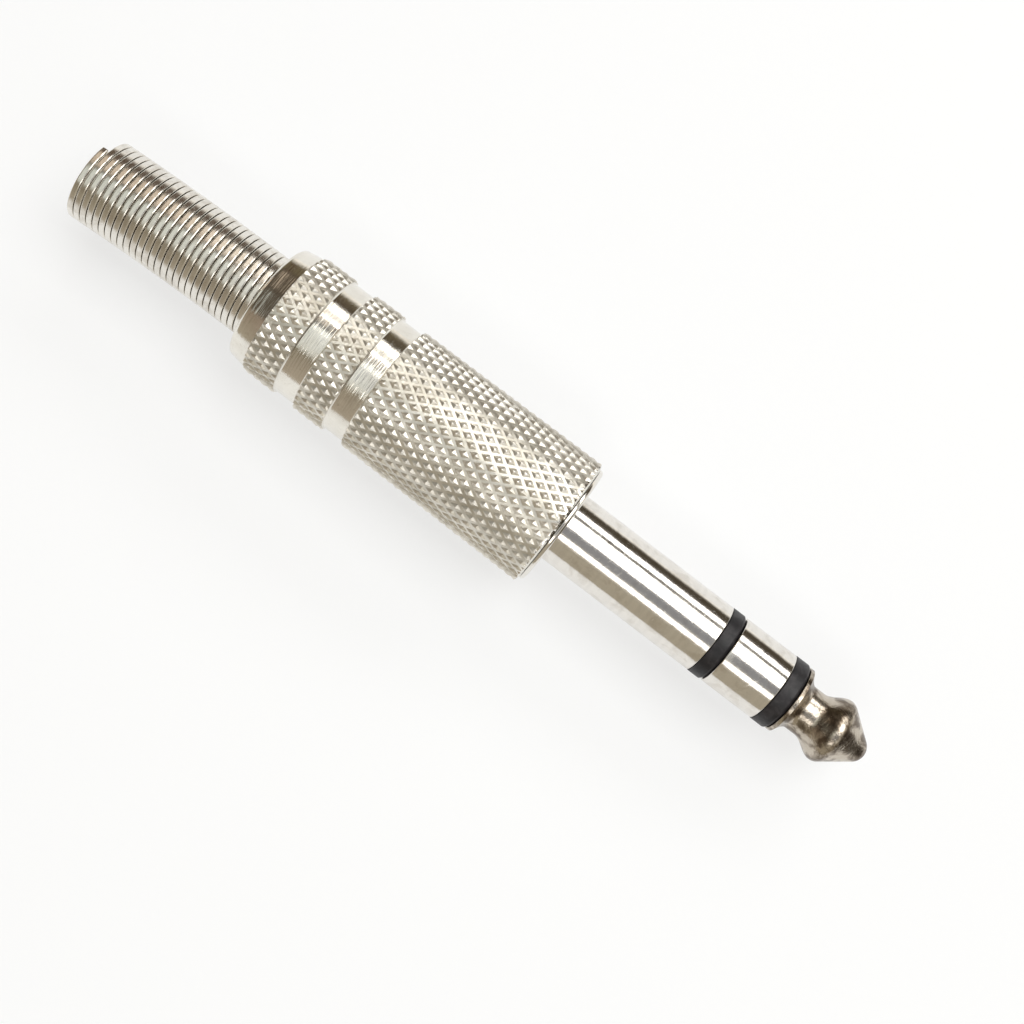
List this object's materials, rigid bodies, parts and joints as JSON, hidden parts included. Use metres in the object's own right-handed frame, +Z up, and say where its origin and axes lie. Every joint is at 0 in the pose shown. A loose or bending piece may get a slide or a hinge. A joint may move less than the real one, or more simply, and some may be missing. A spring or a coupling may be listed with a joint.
{
  "type": "stereo jack plug",
  "caption": "Stereo jack plug for a 6.35 mm socket, with a knurled screw-on metal shell over solder lugs and a coil spring strain relief.",
  "frame": {"origin": "on the surface that the plug lies on, below the middle of its length", "axes": "+X along the plug's axis towards its tip, +Z up"},
  "size_m": [0.0788, 0.012, 0.0119],
  "materials": {
    "shell_nickel": "bright nickel plate over brass, knurled",
    "contact_nickel": "polished nickel plate over brass",
    "tip_nickel": "darker, slightly worn nickel plate over brass",
    "spring_steel": "nickel-plated spring wire",
    "tinned_brass": "tin-plated brass sheet",
    "black_plastic": "satin black",
    "tube_plastic": "natural white tube",
    "brown_board": "brown laminated paper board"
  },
  "bodies": {
    "plug": {"tip_contact": "tip_nickel", "tip_insulator": "black_plastic", "rod_tube": "tube_plastic", "ring_contact": "contact_nickel", "ring_insulator": "black_plastic", "ring_tube_sleeve": "tube_plastic", "plug_body": "contact_nickel", "ground_tag": "tinned_brass", "ring_lug_washer": "brown_board", "ring_lug": "tinned_brass", "tip_lug_washer": "brown_board", "tip_lug": "tinned_brass"},
    "liner": {"shell_liner": "tube_plastic"},
    "strain_relief": {"strain_relief_spring": "spring_steel"},
    "shell": {"shell": "shell_nickel"}
  },
  "joints": [
    {"name": "shell_draw", "type": "slide", "parent": "plug", "child": "liner", "axis": [-1, 0, 0], "range_m": [0, 0.03]},
    {"name": "shell_travel", "type": "slide", "parent": "liner", "child": "strain_relief", "axis": [-1, 0, 0], "range_m": [0, 0.0045]},
    {"name": "shell_turn", "type": "hinge", "parent": "strain_relief", "child": "shell", "pos_m": [-0.007, 0, 0.00598], "axis": [-1, 0, 0], "range_deg": [0, 2160]}
  ],
  "couplings": [
    {"joint": "shell_turn", "follows": "shell_travel", "rad_per_m": 8377.6}
  ]
}
